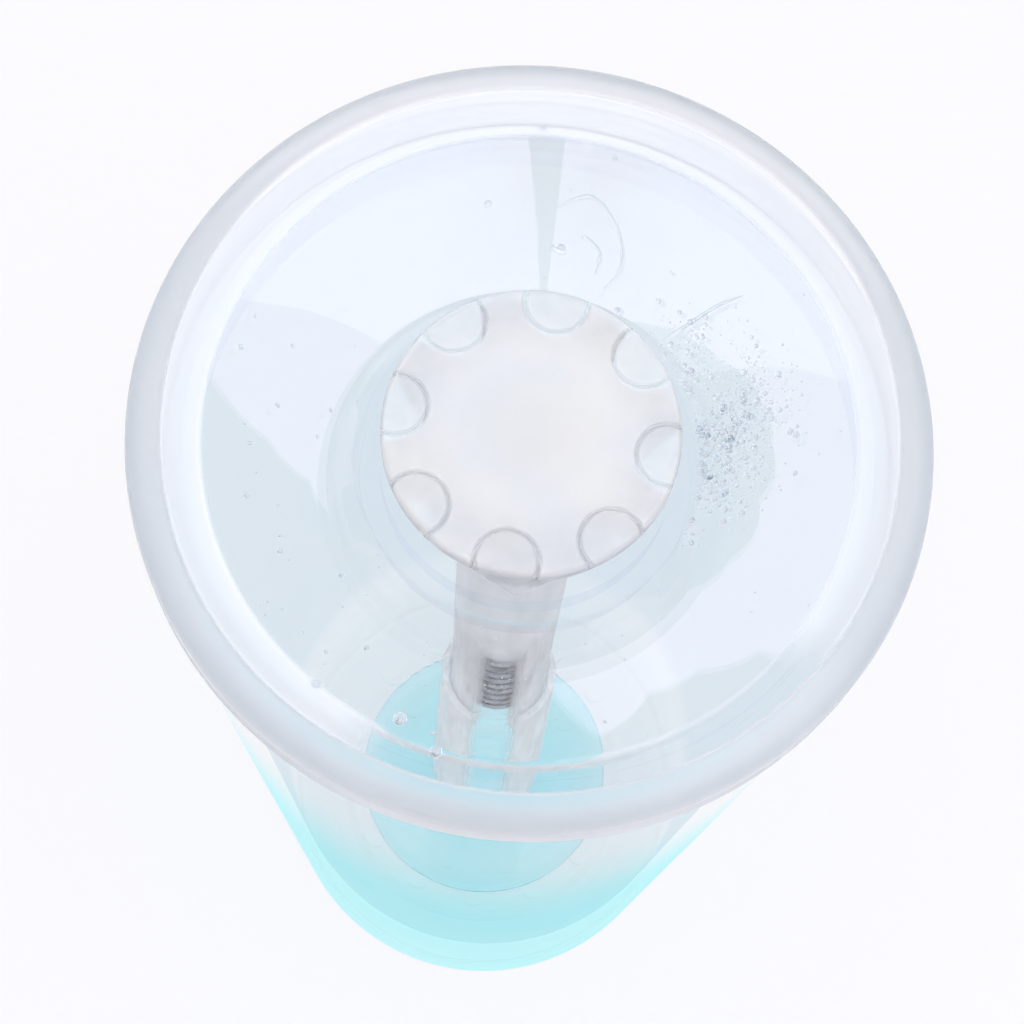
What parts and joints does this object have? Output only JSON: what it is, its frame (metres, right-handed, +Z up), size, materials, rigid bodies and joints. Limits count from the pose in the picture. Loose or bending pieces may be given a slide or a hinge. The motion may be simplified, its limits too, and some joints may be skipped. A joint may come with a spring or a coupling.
{
  "type": "disinfectant jar",
  "caption": "Tall clear glass disinfectant jar with a dished clear lid, a fluted recessed knob and a lift rod that raises a strainer tray to drain",
  "frame": {"origin": "centre of the standing ring, on the surface the jar stands on", "axes": "+Z up along the jar's axis; -Y faces the viewer; the object is round about Z apart from the knob's flutes"},
  "size_m": [0.108, 0.108, 0.266],
  "materials": {
    "clear_glass": "clear pressed glass, faint grey-green in thick edges",
    "clear_lid": "clear cast acrylic, polished, with fine wipe marks and droplets",
    "clear_acrylic": "clear acrylic, polished",
    "clear_silicone": "milky translucent silicone, satin",
    "white_nylon": "white nylon, satin",
    "spring_steel": "dark drawn spring wire"
  },
  "bodies": {
    "jar": {"jar_body": "clear_glass"},
    "lid": {"lid_dish": "clear_lid", "lid_gasket": "clear_silicone", "flange_seal": "clear_silicone", "nut_washer": "white_nylon", "sleeve_nut": "white_nylon", "guide_sleeve": "clear_acrylic", "top_bush": "white_nylon", "wiper_ring": "clear_silicone", "end_bush": "clear_acrylic", "coil_retainer": "white_nylon", "grip_coil": "spring_steel"},
    "lift": {"lift_rod": "clear_acrylic", "knob_grip": "clear_acrylic", "knob_cap": "clear_acrylic", "knob_washer": "clear_acrylic", "knob_screw": "clear_acrylic", "drain_tray": "clear_acrylic", "lift_tube": "clear_acrylic", "tray_washer": "clear_acrylic", "tray_screw": "clear_acrylic"}
  },
  "joints": [
    {"name": "lid_lift", "type": "slide", "parent": "jar", "child": "lid", "axis": [0, 0, 1], "range_m": [0, 0.25]},
    {"name": "tray_lift", "type": "slide", "parent": "lid", "child": "lift", "axis": [0, 0, 1], "range_m": [0, 0.066]}
  ]
}
